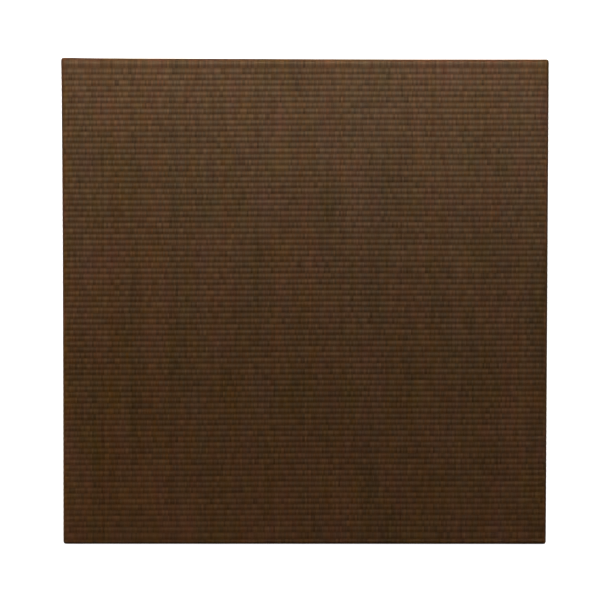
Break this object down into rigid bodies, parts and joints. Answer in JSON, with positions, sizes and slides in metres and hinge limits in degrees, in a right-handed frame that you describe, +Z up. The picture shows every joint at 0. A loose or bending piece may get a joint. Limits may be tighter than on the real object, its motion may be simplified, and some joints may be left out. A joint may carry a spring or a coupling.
{
  "type": "tatami mat",
  "caption": "Flat square tatami mat with no cloth border: a dark brown rush facing, woven in even ribs and folded over all four edges. Lies on a floor.",
  "frame": {"origin": "middle of the flat underside, on the floor", "axes": "+Z up out of the woven face; +X along the ribs; +Y across the ribs, towards the edge at the top of the picture"},
  "size_m": [0.823, 0.823, 0.025],
  "materials": {
    "rush": "woven rush, dyed dark brown, satin sheen"
  },
  "bodies": {
    "root": {"tatami_mat": "rush"}
  },
  "joints": []
}
